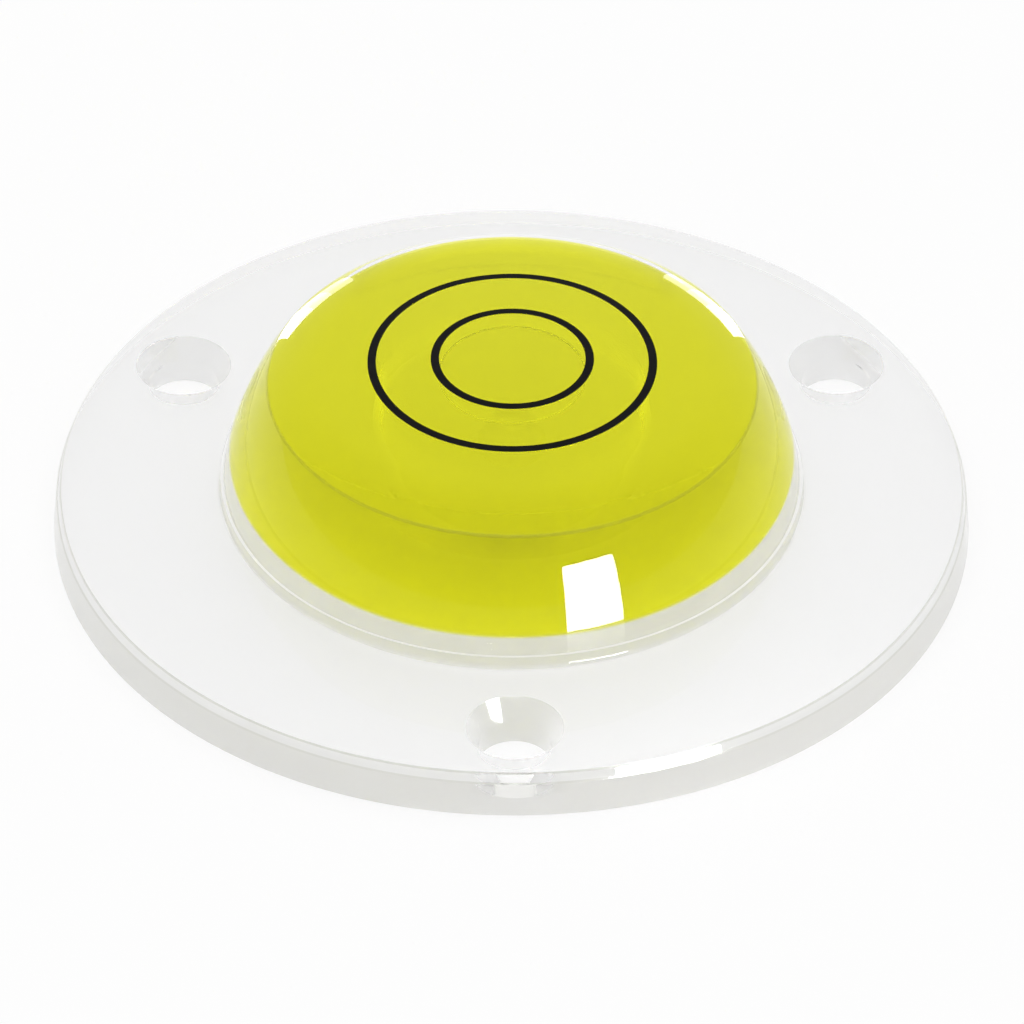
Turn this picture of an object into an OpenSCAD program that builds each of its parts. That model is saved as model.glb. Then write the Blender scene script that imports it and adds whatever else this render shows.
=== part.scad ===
// Bullseye level: a clear moulded cap with a screw-down flange, closed underneath by a
// bonded disc, filled with tinted spirit that holds one air bubble.
// Units are millimetres. Z is up, the flange's underside is on Z = 0, one hole faces -Y.

/* [Flange] */
// Diameter of the flange at its underside, its widest place
flange_d = 60; // [48:0.5:120]
// Thickness of the flange
flange_t = 3.1; // [2:0.1:8]
// Height of the parting ridge on the flange's edge
ridge_h = 2.35; // [0.5:0.05:7]
// How far the parting ridge stands inside the underside edge, per side
ridge_in = 0.2; // [0:0.05:1]
// How far the flange's top edge stands inside the underside edge, per side
top_in = 0.44; // [0.1:0.02:2]

/* [Screw holes] */
// Number of screw holes
hole_n = 3; // [2:1:8]
// Diameter of the circle that the screw holes stand on
hole_circle_d = 50; // [40:0.5:110]
// Diameter of the narrow part of a screw hole
hole_d = 4.7; // [2:0.1:8]
// Diameter of the countersink at the flange's top
sink_d = 6.3; // [3:0.1:12]
// Depth of the countersink
sink_depth = 1.45; // [0.3:0.05:4]

/* [Dome] */
// Diameter of the low collar round the dome's foot
collar_d = 38.1; // [26:0.1:70]
// Height of the collar above the flange
collar_h = 0.85; // [0.3:0.05:4]
// Radius of the fillet between the collar and the flange
collar_fillet = 0.35; // [0.1:0.05:1]
// How far the dome's foot stands inside the collar, per side
foot_in = 0.18; // [0:0.02:1]
// Diameter of the sharp edge between the dome's side and its crown
edge_d = 31.9; // [20:0.1:60]
// Height of that edge above the flange
edge_h = 8.3; // [4:0.1:30]
// How far the dome's side bulges out between its foot and its edge
side_bulge = 0.41; // [0.1:0.01:2]
// Radius of the crown, the shallow spherical lens over the bubble
crown_r = 110; // [60:1:400]
// Height of the crown's middle above the dome's edge
crown_rise = 2.1; // [1.6:0.05:4]
// Radius of the rounding between the crown and the dome's edge
brow_r = 7; // [5:0.1:12]

/* [Chamber] */
// Thickness of the clear lens over the bubble
lens_t = 1.25; // [0.8:0.05:3]
// Wall between the dome's foot and the chamber's floor, measured across
chamber_wall = 2.22; // [1.4:0.02:6]
// Slope of the chamber's wall, in degrees from upright
chamber_slope = 22; // [5:0.5:26]
// Size of the bevel between the chamber's wall and its ceiling
chamber_bevel = 0.5; // [0.2:0.1:3]

/* [Closing disc] */
// Height of the disc's inner face, the chamber's floor, above the underside
floor_h = 4; // [1.5:0.05:8]
// Width of the ledge that the disc is bonded against
ledge_w = 1.1; // [0.5:0.05:1.4]
// How far the disc's outer face stands up inside the underside
disc_inset = 0.3; // [0:0.05:1]
// Outer radius of the thin rim that stands on the disc, at its top
rim_r = 8.6; // [6:0.1:12]
// Height of the rim above the chamber's floor
rim_h = 4.55; // [0.5:0.05:5]
// Thickness of the rim at its top
rim_t = 0.35; // [0.2:0.05:1]
// Draft of the rim: how much each side spreads from top to floor
rim_draft = 0.1; // [0.02:0.02:0.5]
// Gap round the disc and round the filling plug, taken up by the bond
bond_gap = 0.05; // [0.01:0.01:0.2]

/* [Filling plug] */
// Diameter of the filling plug's pin
plug_d = 2.4; // [1:0.1:5]
// Diameter of the filling plug's head
plug_head_d = 4.2; // [2:0.1:8]
// Thickness of the filling plug's head
plug_head_t = 0.8; // [0.3:0.1:2]

/* [Bubble] */
// Diameter of the bubble across its widest place
bubble_d = 9.5; // [4:0.1:12]
// Height of the bubble
bubble_h = 2.8; // [1:0.1:3]

/* [Rings] */
// Diameter of the inner ring, to the middle of its line
ring_inner_d = 10.05; // [6:0.05:14]
// Diameter of the outer ring, to the middle of its line
ring_outer_d = 18.25; // [15:0.05:22]
// Width of the rings' lines
ring_w = 0.5; // [0.2:0.05:1]
// Depth of the grooves that the rings' ink fills
ring_depth = 0.12; // [0.05:0.01:0.4]

/* [Hidden] */
$fn = 96;
lens_fn = 1440;
cut = 1;
edge_bevel_min = 0.3;

flange_r = flange_d / 2;
collar_r = collar_d / 2;
collar_z = flange_t + collar_h;

// The dome's side is an arc through its foot and its edge.
foot_r = collar_r - foot_in;
edge_r = edge_d / 2;
edge_z = flange_t + edge_h;
chord_x = foot_r - edge_r;
chord_z = edge_z - collar_z;
chord = sqrt(chord_x * chord_x + chord_z * chord_z);
side_r = (chord * chord / 4 + side_bulge * side_bulge) / (2 * side_bulge);
side_cx = (foot_r + edge_r) / 2 - (side_r - side_bulge) * chord_z / chord;
side_cz = (collar_z + edge_z) / 2 - (side_r - side_bulge) * chord_x / chord;

// The crown is a spherical cap that runs into a rounding, the brow, down to the edge.
crown_z = edge_z + crown_rise;
crown_cz = crown_z - crown_r;
brow_cr = crown_r - brow_r;
edge_cz = edge_z - crown_cz;
edge_c = sqrt(edge_r * edge_r + edge_cz * edge_cz);
brow_cos = (edge_c * edge_c + brow_cr * brow_cr - brow_r * brow_r) / (2 * edge_c * brow_cr);
brow_angle = atan2(edge_r, edge_cz) - acos(brow_cos);
brow_cx = brow_cr * sin(brow_angle);
brow_cz = crown_cz + brow_cr * cos(brow_angle);
brow_start = crown_r * sin(brow_angle);
side_top = edge_z - brow_r / 8;

// The chamber's ceiling is concentric with the crown; its wall is a cone inside the dome's side.
ceiling_r = crown_r - lens_t;
ceiling_z = crown_z - lens_t;
wall_tan = tan(chamber_slope);
chamber_r = foot_r - chamber_wall;
ceiling_drop = pow(chamber_r - (ceiling_z - floor_h) * wall_tan, 2) / (2 * ceiling_r);
bevel_z = ceiling_z - ceiling_drop - chamber_bevel;
bevel_r = chamber_r - (bevel_z - floor_h) * wall_tan;
bevel_top_r = bevel_r - chamber_bevel - chamber_bevel * wall_tan;

seat_r = chamber_r + ledge_w;
rim_z = floor_h + rim_h - rim_t / 2;
plug_r = plug_d / 2;
plug_head_r = plug_head_d / 2;
bubble_r = bubble_d / 2;
bubble_edge = bubble_h / 2;

module flange_profile() {
    polygon([
        [0, 0],
        [flange_r, 0],
        [flange_r - ridge_in, min(ridge_h, flange_t - edge_bevel_min)],
        [flange_r - top_in, flange_t],
        [0, flange_t]
    ]);
}

module collar_profile() {
    square([collar_r, collar_z]);
    difference() {
        square([collar_r + collar_fillet, flange_t + collar_fillet]);
        translate([collar_r + collar_fillet, flange_t + collar_fillet]) circle(r = collar_fillet);
    }
}

module dome_profile() {
    intersection() {
        translate([side_cx, side_cz]) circle(r = side_r, $fn = lens_fn);
        union() {
            intersection() {
                translate([0, crown_cz]) circle(r = crown_r, $fn = lens_fn);
                square([brow_start, crown_z + cut]);
            }
            translate([brow_cx, brow_cz]) circle(r = brow_r);
            square([foot_r, side_top]);
        }
        translate([0, flange_t - cut]) square([foot_r, crown_z]);
    }
}

module chamber_profile() {
    intersection() {
        translate([0, crown_cz]) circle(r = ceiling_r, $fn = lens_fn);
        polygon([
            [0, floor_h],
            [chamber_r, floor_h],
            [bevel_r, bevel_z],
            [bevel_top_r, bevel_z + chamber_bevel],
            [bevel_top_r, crown_z],
            [0, crown_z]
        ]);
    }
}

module bubble_profile() {
    intersection() {
        union() {
            translate([0, ceiling_z - bubble_h]) square([bubble_r - bubble_edge, bubble_h]);
            translate([bubble_r - bubble_edge, ceiling_z - bubble_edge]) circle(r = bubble_edge);
        }
        translate([0, crown_cz]) circle(r = ceiling_r, $fn = lens_fn);
        square([bubble_r + cut, crown_z]);
    }
}

module ring_shape(d) {
    rotate_extrude()
    intersection() {
        translate([d / 2 - ring_w / 2, 0]) square([ring_w, crown_z + cut]);
        translate([0, crown_cz])
        difference() {
            circle(r = crown_r, $fn = lens_fn);
            circle(r = crown_r - ring_depth, $fn = lens_fn);
        }
    }
}

module screw_hole() {
    translate([0, 0, -cut]) cylinder(d = hole_d, h = flange_t + 2 * cut);
    translate([0, 0, flange_t - sink_depth]) cylinder(d1 = hole_d, d2 = sink_d, h = sink_depth);
    translate([0, 0, flange_t]) cylinder(d = sink_d, h = cut);
}

module body() {
    color([0.92, 0.93, 0.94, 0.35])
    difference() {
        rotate_extrude() {
            flange_profile();
            collar_profile();
            dome_profile();
        }
        rotate_extrude() chamber_profile();
        translate([0, 0, -cut]) cylinder(r = seat_r, h = floor_h + cut);
        for (i = [0 : hole_n - 1]) {
            rotate([0, 0, -90 + i * 360 / hole_n]) translate([hole_circle_d / 2, 0, 0]) screw_hole();
        }
        ring_shape(ring_inner_d);
        ring_shape(ring_outer_d);
    }
}

module rim_profile() {
    polygon([
        [rim_r - rim_t - rim_draft, floor_h],
        [rim_r + rim_draft, floor_h],
        [rim_r, rim_z],
        [rim_r - rim_t, rim_z]
    ]);
    translate([rim_r - rim_t / 2, rim_z]) circle(r = rim_t / 2);
}

module closing_disc() {
    color([0.9, 0.91, 0.93, 0.4])
    difference() {
        union() {
            translate([0, 0, disc_inset]) cylinder(r = seat_r - bond_gap, h = floor_h - disc_inset);
            rotate_extrude() rim_profile();
        }
        cylinder(r = plug_r + bond_gap, h = floor_h + cut);
        cylinder(r = plug_head_r + bond_gap, h = disc_inset + plug_head_t);
    }
}

module filling_plug() {
    color([0.86, 0.88, 0.9, 0.5]) {
        translate([0, 0, disc_inset]) cylinder(r = plug_head_r, h = plug_head_t);
        translate([0, 0, disc_inset]) cylinder(r = plug_r, h = floor_h - disc_inset);
    }
}

module liquid() {
    color([0.8, 0.82, 0.12, 0.7])
    rotate_extrude()
    difference() {
        chamber_profile();
        rim_profile();
        bubble_profile();
    }
}

module bubble() {
    color([0.95, 0.97, 0.8, 0.4])
    rotate_extrude() bubble_profile();
}

module ring_inner() {
    color([0.07, 0.07, 0.06])
    ring_shape(ring_inner_d);
}

module ring_outer() {
    color([0.07, 0.07, 0.06])
    ring_shape(ring_outer_d);
}

body();
closing_disc();
filling_plug();
liquid();
bubble();
ring_inner();
ring_outer();
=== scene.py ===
import math

import bmesh
import bpy
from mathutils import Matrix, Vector


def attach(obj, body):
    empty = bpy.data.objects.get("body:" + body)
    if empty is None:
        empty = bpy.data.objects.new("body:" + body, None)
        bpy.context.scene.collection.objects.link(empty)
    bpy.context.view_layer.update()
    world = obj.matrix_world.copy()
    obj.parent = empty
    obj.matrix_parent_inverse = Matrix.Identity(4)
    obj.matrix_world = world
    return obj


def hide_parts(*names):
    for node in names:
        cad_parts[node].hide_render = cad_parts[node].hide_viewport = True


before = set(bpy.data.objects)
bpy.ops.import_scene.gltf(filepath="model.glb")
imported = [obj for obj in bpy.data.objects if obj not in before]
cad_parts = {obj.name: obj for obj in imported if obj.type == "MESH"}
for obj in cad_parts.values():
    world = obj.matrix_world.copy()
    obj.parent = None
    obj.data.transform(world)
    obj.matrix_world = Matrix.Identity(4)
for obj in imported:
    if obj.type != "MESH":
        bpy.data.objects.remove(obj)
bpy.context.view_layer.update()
scene = bpy.context.scene
scene.view_settings.view_transform = "Standard"
MM = 0.001


# Body: the flange and the domed cap in one piece of clear acrylic, injection moulded and
# polished, with its underside ground matt. The chamber is cored out from below, and the
# three countersunk screw holes are drilled afterwards.
FLANGE_R, FLANGE_T = 30.0, 3.1
RIDGE_Z, RIDGE_IN, TOP_IN, LINE_W = 2.35, 0.2, 0.44, 0.1
HOLE_R, SINK_R, SINK_DEPTH, HOLE_CIRCLE_R = 2.35, 3.15, 1.45, 25.0
COLLAR_R, COLLAR_Z, COLLAR_FILLET = 19.05, 3.95, 0.35
FOOT_R, EDGE_R, EDGE_Z = 18.87, 15.95, 11.4
SIDE_BULGE, BROW_R, CROWN_R, CROWN_Z = 0.41, 7.0, 110.0, 13.5
CREASE_R = 0.6
SEAT_R, CHAMBER_R, FLOOR_Z, LENS_T = 17.75, 16.65, 4.0, 1.25
WALL_TAN, BEVEL = math.tan(math.radians(14)), 0.7
GROOVE_RS, GROOVE_W, GROOVE_DEPTH = (9.125, 5.025), 0.55, 0.12


def start_point(bm, r, z):
    """The first point of a profile in the XZ half plane, in millimetres."""
    return bmesh.ops.create_vert(bm, co=(r * MM, 0, z * MM))["vert"][0]


def line_to(bm, point, r, z):
    """Draws the profile on to (r, z) and returns the new end point."""
    end = bmesh.ops.extrude_vert_indiv(bm, verts=[point])["verts"][0]
    end.co = (r * MM, 0, z * MM)
    return end


def arc_to(bm, point, cr, cz, turn, steps):
    """Draws an arc about (cr, cz) through a signed angle in degrees, and returns its end."""
    centre, angle = (cr * MM, 0, cz * MM), math.radians(turn)
    made = bmesh.ops.spin(bm, geom=[point], cent=centre, axis=(0, 1, 0), angle=angle, steps=steps)
    return [part for part in made["geom_last"] if isinstance(part, bmesh.types.BMVert)][0]


def turned_piece(name, runs, finishes, steps=360, cuts=()):
    """Turns profiles about Z into one closed piece; each run is (draw function, finish number)."""
    whole = bmesh.new()
    for draw, finish in runs:
        bm = bmesh.new()
        draw(bm)
        bmesh.ops.spin(
            bm,
            geom=list(bm.verts) + list(bm.edges),
            cent=(0, 0, 0),
            axis=(0, 0, 1),
            angle=math.tau,
            steps=steps,
            use_merge=True,
        )
        bmesh.ops.remove_doubles(bm, verts=list(bm.verts), dist=1e-7)
        for face in bm.faces:
            face.material_index = finish
        part = bpy.data.meshes.new("run")
        bm.to_mesh(part)
        bm.free()
        whole.from_mesh(part)
        bpy.data.meshes.remove(part)
    bmesh.ops.remove_doubles(whole, verts=list(whole.verts), dist=1e-7)
    bmesh.ops.recalc_face_normals(whole, faces=list(whole.faces))
    mesh = bpy.data.meshes.new(name)
    whole.to_mesh(mesh)
    whole.free()
    mesh.polygons.foreach_set("use_smooth", [True] * len(mesh.polygons))
    for finish in finishes:
        mesh.materials.append(finish)
    piece = bpy.data.objects.new(name, mesh)
    scene.collection.objects.link(piece)
    for cutter in cuts:
        hole = piece.modifiers.new("hole", "BOOLEAN")
        hole.object, hole.operation, hole.solver = cutter, "DIFFERENCE", "EXACT"
    if cuts:
        graph = bpy.context.evaluated_depsgraph_get()
        cut_mesh = bpy.data.meshes.new_from_object(piece.evaluated_get(graph))
        piece.modifiers.clear()
        piece.data = cut_mesh
        for cutter in cuts:
            bpy.data.objects.remove(cutter)
    piece.data.set_sharp_from_angle(angle=math.radians(9))
    weigh = piece.modifiers.new("flat_faces", "WEIGHTED_NORMAL")
    weigh.keep_sharp = True
    weigh.weight = 100
    graph = bpy.context.evaluated_depsgraph_get()
    done = bpy.data.meshes.new_from_object(piece.evaluated_get(graph))
    piece.modifiers.clear()
    piece.data = done
    return piece


def finish_group():
    """What a moulded, ground or liquid surface has all over: patches of haze and fine waves."""
    group = bpy.data.node_groups.new("surface_finish", "ShaderNodeTree")
    face = group.interface
    for socket in ("Patch Scale", "Wave Scale", "Roughness", "Spread"):
        face.new_socket(name=socket, in_out="INPUT", socket_type="NodeSocketFloat")
    for socket in ("Roughness", "Height"):
        face.new_socket(name=socket, in_out="OUTPUT", socket_type="NodeSocketFloat")
    nodes, links = group.nodes, group.links
    given, out = nodes.new("NodeGroupInput"), nodes.new("NodeGroupOutput")
    place = nodes.new("ShaderNodeTexCoord")
    patches, waves = nodes.new("ShaderNodeTexNoise"), nodes.new("ShaderNodeTexNoise")
    for noise, scale in ((patches, "Patch Scale"), (waves, "Wave Scale")):
        links.new(place.outputs["Object"], noise.inputs["Vector"])
        links.new(given.outputs[scale], noise.inputs["Scale"])
        noise.inputs["Detail"].default_value = 3
    vary = nodes.new("ShaderNodeMath")
    vary.operation = "MULTIPLY_ADD"
    links.new(patches.outputs["Fac"], vary.inputs[0])
    links.new(given.outputs["Spread"], vary.inputs[1])
    links.new(given.outputs["Roughness"], vary.inputs[2])
    links.new(vary.outputs[0], out.inputs["Roughness"])
    links.new(waves.outputs["Fac"], out.inputs["Height"])
    return group


surface_finish = finish_group()


def add_finish(mat, rough, spread, patch_scale, wave_scale=0, wave_height=0):
    """Gives a material its uneven roughness and, where it isn't polished, waves in millimetres."""
    nodes, links = mat.node_tree.nodes, mat.node_tree.links
    finish = nodes.new("ShaderNodeGroup")
    finish.node_tree = surface_finish
    for socket, value in (
        ("Patch Scale", patch_scale),
        ("Wave Scale", wave_scale),
        ("Roughness", rough),
        ("Spread", spread),
    ):
        finish.inputs[socket].default_value = value
    links.new(finish.outputs["Roughness"], nodes["Principled BSDF"].inputs["Roughness"])
    if not wave_height:
        return
    bump = nodes.new("ShaderNodeBump")
    bump.inputs["Distance"].default_value = wave_height * MM
    links.new(finish.outputs["Height"], bump.inputs["Height"])
    links.new(bump.outputs["Normal"], nodes["Principled BSDF"].inputs["Normal"])


def clear_material(name, ior, alpha=1.0, tint=(1, 1, 1)):
    """A clear plastic or liquid that light goes through."""
    mat = bpy.data.materials.new(name)
    mat.use_nodes = True
    sockets = mat.node_tree.nodes["Principled BSDF"].inputs
    sockets["Base Color"].default_value = (*tint, 1)
    sockets["Transmission Weight"].default_value = 1
    sockets["Roughness"].default_value = 0
    sockets["IOR"].default_value = ior
    sockets["Alpha"].default_value = alpha
    return mat


def scatter_through(mat, share):
    """Mixes in light that goes through a matt face and scatters every way."""
    nodes, links = mat.node_tree.nodes, mat.node_tree.links
    through = nodes.new("ShaderNodeBsdfTranslucent")
    through.inputs["Color"].default_value = (1, 1, 1, 1)
    both = nodes.new("ShaderNodeMixShader")
    both.inputs["Fac"].default_value = share
    links.new(nodes["Principled BSDF"].outputs["BSDF"], both.inputs[1])
    links.new(through.outputs["BSDF"], both.inputs[2])
    links.new(both.outputs["Shader"], nodes["Material Output"].inputs["Surface"])


# The dome's side is an arc through its foot and its edge, and the brow rounds it into the crown.
chord = math.hypot(FOOT_R - EDGE_R, EDGE_Z - COLLAR_Z)
SIDE_R = (chord**2 / 4 + SIDE_BULGE**2) / (2 * SIDE_BULGE)
side_cr = (FOOT_R + EDGE_R) / 2 - (SIDE_R - SIDE_BULGE) * (EDGE_Z - COLLAR_Z) / chord
side_cz = (COLLAR_Z + EDGE_Z) / 2 - (SIDE_R - SIDE_BULGE) * (FOOT_R - EDGE_R) / chord
foot_angle = math.atan2(FOOT_R - side_cr, COLLAR_Z - side_cz)
crown_cz = CROWN_Z - CROWN_R
edge_c = math.hypot(EDGE_R, EDGE_Z - crown_cz)
brow_cos = (edge_c**2 + (CROWN_R - BROW_R) ** 2 - BROW_R**2) / (2 * edge_c * (CROWN_R - BROW_R))
brow_angle = math.atan2(EDGE_R, EDGE_Z - crown_cz) - math.acos(brow_cos)
brow_cr = (CROWN_R - BROW_R) * math.sin(brow_angle)
brow_cz = crown_cz + (CROWN_R - BROW_R) * math.cos(brow_angle)

# The edge itself is worn round by a small arc that touches both the side and the brow.
between_c = Vector((side_cr - brow_cr, side_cz - brow_cz))
to_brow, to_side = BROW_R - CREASE_R, SIDE_R - CREASE_R
along = (to_brow**2 - to_side**2 + between_c.length_squared) / (2 * between_c.length)
across = math.sqrt(to_brow**2 - along**2)
unit = between_c.normalized()
crease_cr = brow_cr + unit.x * along + unit.y * across
crease_cz = brow_cz + unit.y * along - unit.x * across
crease_low = math.atan2(crease_cr - side_cr, crease_cz - side_cz)
crease_high = math.atan2(crease_cr - brow_cr, crease_cz - brow_cz)

# The chamber's ceiling is concentric with the crown, and a bevel joins it to the cored wall.
CEILING_R, CEILING_Z = CROWN_R - LENS_T, CROWN_Z - LENS_T
drop = (CHAMBER_R - (CEILING_Z - FLOOR_Z) * WALL_TAN) ** 2 / (2 * CEILING_R)
bevel_z = CEILING_Z - drop - BEVEL
bevel_r = CHAMBER_R - (bevel_z - FLOOR_Z) * WALL_TAN
bevel_top_r = bevel_r - BEVEL - BEVEL * WALL_TAN
bevel_top_z = crown_cz + math.sqrt(CEILING_R**2 - bevel_top_r**2)
ceiling_angle = math.asin(bevel_top_r / CEILING_R)


def crown_angle(r, depth=0.0):
    """The angle at the crown's centre of a point at radius r, some depth under the crown."""
    return math.asin(r / (CROWN_R - depth))


def crown_z(r, depth=0.0):
    return crown_cz + (CROWN_R - depth) * math.cos(crown_angle(r, depth))


def crown_arc(bm, point, r_from, r_to, depth=0.0, steps=6):
    """Draws on along the crown, or along a sphere some depth under it, to another radius."""
    turn = math.degrees(crown_angle(r_to, depth) - crown_angle(r_from, depth))
    return arc_to(bm, point, 0, crown_cz, turn, steps)


def draw_edge(bm):
    p = start_point(bm, FLANGE_R, 0)
    line_to(bm, p, FLANGE_R - RIDGE_IN, RIDGE_Z)


def draw_ridge(bm):
    p = start_point(bm, FLANGE_R - RIDGE_IN, RIDGE_Z)
    line_to(bm, p, FLANGE_R - RIDGE_IN - LINE_W, RIDGE_Z + LINE_W)


def draw_lip(bm):
    p = start_point(bm, FLANGE_R - RIDGE_IN - LINE_W, RIDGE_Z + LINE_W)
    line_to(bm, p, FLANGE_R - TOP_IN, FLANGE_T - LINE_W)


def draw_top_bevel(bm):
    p = start_point(bm, FLANGE_R - TOP_IN, FLANGE_T - LINE_W)
    line_to(bm, p, FLANGE_R - TOP_IN - LINE_W, FLANGE_T)


def draw_foot(bm):
    p = start_point(bm, FLANGE_R - TOP_IN - LINE_W, FLANGE_T)
    p = line_to(bm, p, COLLAR_R + COLLAR_FILLET, FLANGE_T)
    p = arc_to(bm, p, COLLAR_R + COLLAR_FILLET, FLANGE_T + COLLAR_FILLET, 90, 8)
    p = line_to(bm, p, COLLAR_R, COLLAR_Z)
    p = line_to(bm, p, FOOT_R, COLLAR_Z)
    arc_to(bm, p, side_cr, side_cz, -math.degrees(foot_angle - crease_low), 32)


def draw_crease(bm):
    p = start_point(bm, side_cr + SIDE_R * math.sin(crease_low), side_cz + SIDE_R * math.cos(crease_low))
    arc_to(bm, p, crease_cr, crease_cz, -math.degrees(crease_low - crease_high), 8)


def draw_crown(bm):
    p = start_point(bm, brow_cr + BROW_R * math.sin(crease_high), brow_cz + BROW_R * math.cos(crease_high))
    p = arc_to(bm, p, brow_cr, brow_cz, -math.degrees(crease_high - brow_angle), 24)
    r = CROWN_R * math.sin(brow_angle)
    for groove_r in GROOVE_RS:
        r_out, r_in = groove_r + GROOVE_W / 2, groove_r - GROOVE_W / 2
        p = crown_arc(bm, p, r, r_out)
        p = line_to(bm, p, r_out, crown_z(r_out, GROOVE_DEPTH))
        p = crown_arc(bm, p, r_out, r_in, GROOVE_DEPTH, 2)
        p = line_to(bm, p, r_in, crown_z(r_in))
        r = r_in
    crown_arc(bm, p, r, 0)


def draw_underside(bm):
    line_to(bm, start_point(bm, SEAT_R, 0), FLANGE_R, 0)


def draw_core(bm):
    p = start_point(bm, SEAT_R, 0)
    p = line_to(bm, p, SEAT_R, FLOOR_Z)
    p = line_to(bm, p, CHAMBER_R, FLOOR_Z)
    p = line_to(bm, p, bevel_r, bevel_z)
    p = line_to(bm, p, bevel_top_r, bevel_top_z)
    arc_to(bm, p, 0, crown_cz, -math.degrees(ceiling_angle), 24)


def draw_drill(bm):
    p = start_point(bm, 0, -1)
    p = line_to(bm, p, HOLE_R, -1)
    p = line_to(bm, p, HOLE_R, FLANGE_T - SINK_DEPTH)
    p = line_to(bm, p, SINK_R, FLANGE_T)
    p = line_to(bm, p, SINK_R, FLANGE_T + 1)
    line_to(bm, p, 0, FLANGE_T + 1)


polished = clear_material("acrylic_polished", 1.49)
polished.node_tree.nodes["Principled BSDF"].inputs["Specular Tint"].default_value = (0.6, 0.6, 0.6, 1)
add_finish(polished, rough=0.0, spread=0.02, patch_scale=300)
ground = clear_material("acrylic_ground", 1.49)
add_finish(ground, rough=0.5, spread=0.2, patch_scale=500, wave_scale=5000, wave_height=0.001)
scatter_through(ground, 0.55)
drilled = clear_material("acrylic_drilled", 1.49)
add_finish(drilled, rough=0.05, spread=0.15, patch_scale=800, wave_scale=2000, wave_height=0.001)
scatter_through(drilled, 0.15)
# Painted shade: the tint darkens the flange's outer side wall and gives it a faint yellow cast that stands in for
# the liquid's light seen in it.
edge = clear_material("acrylic_edge_painted_shade", 1.49, tint=(0.77, 0.765, 0.73))
add_finish(edge, rough=0.05, spread=0.15, patch_scale=200, wave_scale=800, wave_height=0.001)
# Painted shade: the tint darkens the thin rounded faces at the dome's crease and at the flange's ridge and top
# bevel, where the edges bend light into dark lines.
crease_painted_shade = clear_material("acrylic_crease_painted_shade", 1.49, tint=(0.7, 0.7, 0.64))
add_finish(crease_painted_shade, rough=0.1, spread=0.2, patch_scale=400, wave_scale=900, wave_height=0.001)
bonded = clear_material("bonded_joint", 1.49, alpha=0.0)
drills = []
for i in range(3):
    drill = turned_piece("drill", [(draw_drill, 3)], [polished, ground, bonded, drilled, edge, crease_painted_shade], steps=96)
    turn = math.radians(-90 + 120 * i)
    for vert in drill.data.vertices:
        vert.co += Vector((math.cos(turn), math.sin(turn), 0)) * HOLE_CIRCLE_R * MM
    drills.append(drill)
body = turned_piece(
    "level_body",
    [
        (draw_foot, 0),
        (draw_crown, 0),
        (draw_underside, 1),
        (draw_core, 2),
        (draw_edge, 4),
        (draw_crease, 5),
        (draw_ridge, 5),
        (draw_lip, 0),
        (draw_top_bevel, 5),
    ],
    [polished, ground, bonded, drilled, edge, crease_painted_shade],
    cuts=drills,
)
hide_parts("body")
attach(body, "root")

# Closing disc: a clear acrylic disc bonded into the body from below. Its thin rim stands up
# in the liquid, and its outer face is ground matt with the body's underside.
DISC_INSET, BOND = 0.3, 0.05
RIM_R, RIM_T, RIM_Z, RIM_DRAFT = 8.6, 0.35, 8.55, 0.1
PLUG_R, PLUG_HEAD_R, PLUG_HEAD_T = 1.2, 2.1, 0.8


def draw_disc_under(bm):
    line_to(bm, start_point(bm, PLUG_HEAD_R + 0.003, DISC_INSET), SEAT_R - 0.003, DISC_INSET)


def draw_disc_rest(bm):
    p = start_point(bm, SEAT_R - 0.003, DISC_INSET)
    p = line_to(bm, p, SEAT_R - 0.003, FLOOR_Z - 0.01)
    p = line_to(bm, p, RIM_R + RIM_DRAFT, FLOOR_Z - 0.01)
    p = line_to(bm, p, RIM_R, RIM_Z - RIM_T / 2)
    p = arc_to(bm, p, RIM_R - RIM_T / 2, RIM_Z - RIM_T / 2, -180, 12)
    p = line_to(bm, p, RIM_R - RIM_T - RIM_DRAFT, FLOOR_Z - 0.01)
    p = line_to(bm, p, PLUG_R + 0.003, FLOOR_Z - 0.01)
    p = line_to(bm, p, PLUG_R + 0.003, DISC_INSET + PLUG_HEAD_T)
    p = line_to(bm, p, PLUG_HEAD_R + 0.003, DISC_INSET + PLUG_HEAD_T)
    line_to(bm, p, PLUG_HEAD_R + 0.003, DISC_INSET)


disc = turned_piece("closing_disc_turned", [(draw_disc_under, 0), (draw_disc_rest, 1)], [ground, bonded])
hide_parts("closing_disc")
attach(disc, "root")

# Filling plug: a clear acrylic pin with a flat head, pressed into the filling hole in the
# closing disc once the chamber is full, and bonded there.


def draw_plug_under(bm):
    line_to(bm, start_point(bm, 0, DISC_INSET), PLUG_HEAD_R, DISC_INSET)


def draw_plug_rest(bm):
    p = start_point(bm, PLUG_HEAD_R, DISC_INSET)
    p = line_to(bm, p, PLUG_HEAD_R, DISC_INSET + PLUG_HEAD_T)
    p = line_to(bm, p, PLUG_R, DISC_INSET + PLUG_HEAD_T)
    p = line_to(bm, p, PLUG_R, FLOOR_Z - 0.01)
    line_to(bm, p, 0, FLOOR_Z - 0.01)


cemented = clear_material("cemented_joint", 1.0)
plug = turned_piece("filling_plug_turned", [(draw_plug_under, 0), (draw_plug_rest, 1)], [ground, cemented], steps=96)
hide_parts("filling_plug")
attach(plug, "root")

# Liquid: yellow-green dyed spirit that fills the chamber and stands round the disc's rim. It
# bends light only a little, because spirit and acrylic have nearly the same refractive index.
SKIN, SPIRIT_IOR = 0.01, 1.483


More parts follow.
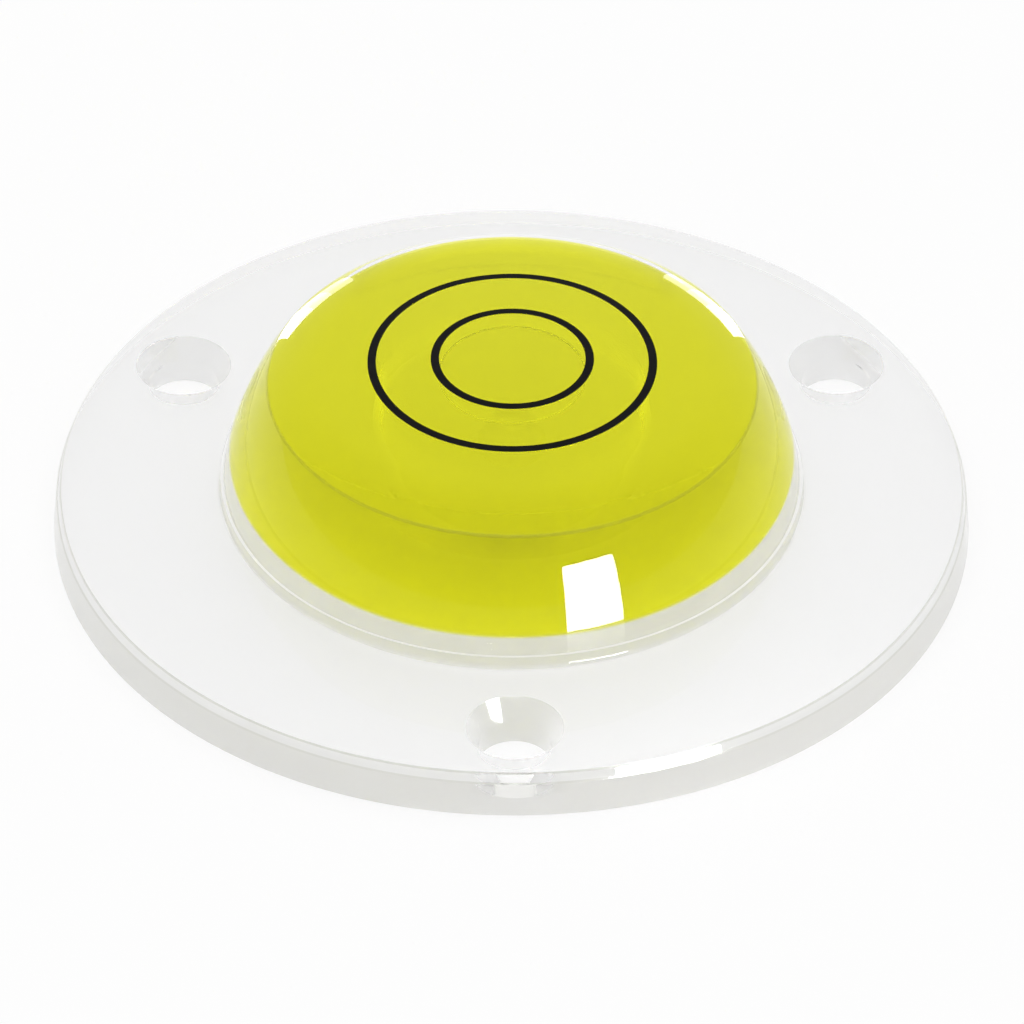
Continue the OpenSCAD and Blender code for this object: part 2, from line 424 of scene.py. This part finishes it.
def draw_liquid(bm):
    p = start_point(bm, 0, FLOOR_Z)
    p = line_to(bm, p, RIM_R - RIM_T - RIM_DRAFT - SKIN, FLOOR_Z)
    p = line_to(bm, p, RIM_R - RIM_T - SKIN, RIM_Z - RIM_T / 2)
    p = arc_to(bm, p, RIM_R - RIM_T / 2, RIM_Z - RIM_T / 2, 180, 24)
    p = line_to(bm, p, RIM_R + RIM_DRAFT + SKIN, FLOOR_Z)
    p = line_to(bm, p, CHAMBER_R - SKIN, FLOOR_Z)
    p = line_to(bm, p, bevel_r - SKIN, bevel_z)
    p = line_to(bm, p, bevel_top_r, bevel_top_z - SKIN)
    arc_to(bm, p, 0, crown_cz - SKIN, -math.degrees(ceiling_angle), 24)


spirit = clear_material("spirit_dyed", SPIRIT_IOR / 1.49)
add_finish(spirit, rough=0.0, spread=0.01, patch_scale=300)
dye = spirit.node_tree.nodes.new("ShaderNodeVolumeAbsorption")
dye.inputs["Color"].default_value = (0.9963, 0.9963, 0.0, 1)
dye.inputs["Density"].default_value = 8000
spirit.node_tree.links.new(dye.outputs["Volume"], spirit.node_tree.nodes["Material Output"].inputs["Volume"])
liquid = turned_piece("liquid_fill", [(draw_liquid, 0)], [spirit])
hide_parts("liquid")
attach(liquid, "root")

# Bubble: air left in the liquid, flattened against the lens. A film of liquid stays between
# the two. Its surface bends light far less than air in spirit does, so it is hardly seen.
BUBBLE_R, BUBBLE_H, FILM = 4.75, 2.8, 0.05
bubble_cr = BUBBLE_R - BUBBLE_H / 2
bubble_cz = CEILING_Z - FILM - BUBBLE_H / 2 - 0.05


def draw_bubble(bm):
    p = start_point(bm, 0, bubble_cz - BUBBLE_H / 2)
    p = line_to(bm, p, bubble_cr, bubble_cz - BUBBLE_H / 2)
    p = arc_to(bm, p, bubble_cr, bubble_cz, -180, 96)
    line_to(bm, p, 0, bubble_cz + BUBBLE_H / 2)


air = clear_material("air_in_spirit", 0.96)
add_finish(air, rough=0.0, spread=0.02, patch_scale=400)
bubble = turned_piece("air_bubble", [(draw_bubble, 0)], [air])
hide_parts("bubble")
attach(bubble, "root")

# Rings: two black lines, matt ink wiped into fine turned grooves in the lens and flush with it.
INK_GAP = 0.002
ink = bpy.data.materials.new("ring_ink")
ink.use_nodes = True
ink_nodes, ink_links = ink.node_tree.nodes, ink.node_tree.links
ink_nodes["Principled BSDF"].inputs["Specular IOR Level"].default_value = 0.1
add_finish(ink, rough=0.5, spread=0.25, patch_scale=900, wave_scale=4000, wave_height=0.006)
pigment, shades = ink_nodes.new("ShaderNodeTexNoise"), ink_nodes.new("ShaderNodeValToRGB")
pigment.inputs["Scale"].default_value = 1500
shades.color_ramp.elements[0].color = (0.003, 0.003, 0.0025, 1)
shades.color_ramp.elements[1].color = (0.009, 0.009, 0.007, 1)
ink_links.new(ink_nodes.new("ShaderNodeTexCoord").outputs["Object"], pigment.inputs["Vector"])
ink_links.new(pigment.outputs["Fac"], shades.inputs["Fac"])
ink_links.new(shades.outputs["Color"], ink_nodes["Principled BSDF"].inputs["Base Color"])


def ring_drawer(ring_r):
    def draw(bm):
        r_in, r_out = ring_r - GROOVE_W / 2 + INK_GAP, ring_r + GROOVE_W / 2 - INK_GAP
        depth = GROOVE_DEPTH - INK_GAP
        p = start_point(bm, r_in, crown_z(r_in, depth))
        p = crown_arc(bm, p, r_in, r_out, depth, 2)
        p = line_to(bm, p, r_out, crown_z(r_out))
        p = crown_arc(bm, p, r_out, r_in, 0, 2)
        line_to(bm, p, r_in, crown_z(r_in, depth))

    return draw


for ring_r, node in zip(GROOVE_RS, ("ring_outer", "ring_inner")):
    ring = turned_piece(node + "_ink", [(ring_drawer(ring_r), 0)], [ink])
    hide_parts(node)
    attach(ring, "root")

# Floor and light: a plain white floor that keeps the level's shadow, a pale room, one large
# softbox overhead, and small cards close to the level that only its polished faces mirror: one
# in front and four narrow ones on each side behind.
FLOOR_GLOW = 0.85
bm = bmesh.new()
bmesh.ops.create_circle(bm, cap_ends=True, cap_tris=True, segments=64, radius=2.5)
bmesh.ops.translate(bm, verts=bm.verts, vec=(0.2, 0.3, -0.1 * MM))
mesh = bpy.data.meshes.new("floor")
bm.to_mesh(mesh)
bm.free()
floor = bpy.data.objects.new("floor", mesh)
scene.collection.objects.link(floor)
floor_white = bpy.data.materials.new("floor_white")
floor_white.use_nodes = True
nodes, links = floor_white.node_tree.nodes, floor_white.node_tree.links
paper = nodes["Principled BSDF"]
paper.inputs["Base Color"].default_value = (0.9, 0.9, 0.9, 1)
paper.inputs["Roughness"].default_value = 1
paper.inputs["Specular IOR Level"].default_value = 0
glow, path, seen = nodes.new("ShaderNodeEmission"), nodes.new("ShaderNodeLightPath"), None
for ray in ("Is Camera Ray", "Is Glossy Ray", "Is Transmission Ray"):
    either = nodes.new("ShaderNodeMath")
    either.operation = "MAXIMUM"
    either.inputs[1].default_value = 0
    links.new(path.outputs[ray], either.inputs[0])
    if seen:
        links.new(seen, either.inputs[1])
    seen = either.outputs[0]
share = nodes.new("ShaderNodeMath")
share.operation = "MULTIPLY"
share.inputs[1].default_value = FLOOR_GLOW
mix = nodes.new("ShaderNodeMixShader")
links.new(seen, share.inputs[0])
links.new(share.outputs[0], mix.inputs["Fac"])
links.new(paper.outputs["BSDF"], mix.inputs[1])
links.new(glow.outputs["Emission"], mix.inputs[2])
links.new(mix.outputs["Shader"], nodes["Material Output"].inputs["Surface"])
mesh.materials.append(floor_white)

world = bpy.data.worlds.new("studio")
scene.world = world
world.use_nodes = True
world.node_tree.nodes["Background"].inputs["Color"].default_value = (1, 1, 1, 1)
world.node_tree.nodes["Background"].inputs["Strength"].default_value = 0.62


def lamp(name, azimuth, distance, height, size, radiance, shape="RECTANGLE"):
    """A flat lamp that faces the level, level with it or overhead, with azimuth 0 at the front."""
    light = bpy.data.lights.new(name, "AREA")
    light.shape = shape
    light.size, light.size_y = size[0] * MM, size[1] * MM
    light.energy = radiance * math.pi * light.size * light.size_y
    piece = bpy.data.objects.new(name, light)
    turn = math.radians(azimuth)
    piece.location = Vector((math.sin(turn) * distance, -math.cos(turn) * distance, height)) * MM
    facing = Vector((piece.location.x, piece.location.y, 0)) if distance else Vector((0, 0, 1))
    piece.rotation_euler = facing.to_track_quat("Z", "Y").to_euler()
    scene.collection.objects.link(piece)
    return piece


overhead = lamp("overhead", 0, 0, 1000, (1300, 1300), 1.3, "DISK")
overhead.data.energy *= math.pi / 4
overhead.visible_glossy = False
cards = [lamp("front_card", 24.3, 42, 8.1, (12.8, 15.8), 42)]
for side in (-1, 1):
    for azimuth, radiance in ((148, 10), (152, 7), (156, 4.5), (160, 2.5)):
        cards.append(lamp("back_card", side * azimuth, 73, 10.2, (5.2, 20), radiance))
for card in cards:
    card.visible_camera = card.visible_diffuse = card.visible_transmission = False

cam = bpy.data.objects.new("camera", bpy.data.cameras.new("camera"))
scene.collection.objects.link(cam)
scene.camera = cam
az, el = math.radians(-0.7), math.radians(38.74)
back = Vector((math.sin(az) * math.cos(el), -math.cos(az) * math.cos(el), math.sin(el)))
target = Vector((0.00004, 0, 0.00061))
cam.location = target + back * 0.7
q = (-back).to_track_quat("-Z", "Y")
cam.rotation_euler = q.to_euler()
cam.rotation_euler.rotate_axis("Z", math.radians(0.35))
cam.data.sensor_width = 36
cam.data.lens = 10671 / 1024 * 36
cam.data.clip_start = 0.05
cam.data.clip_end = 10
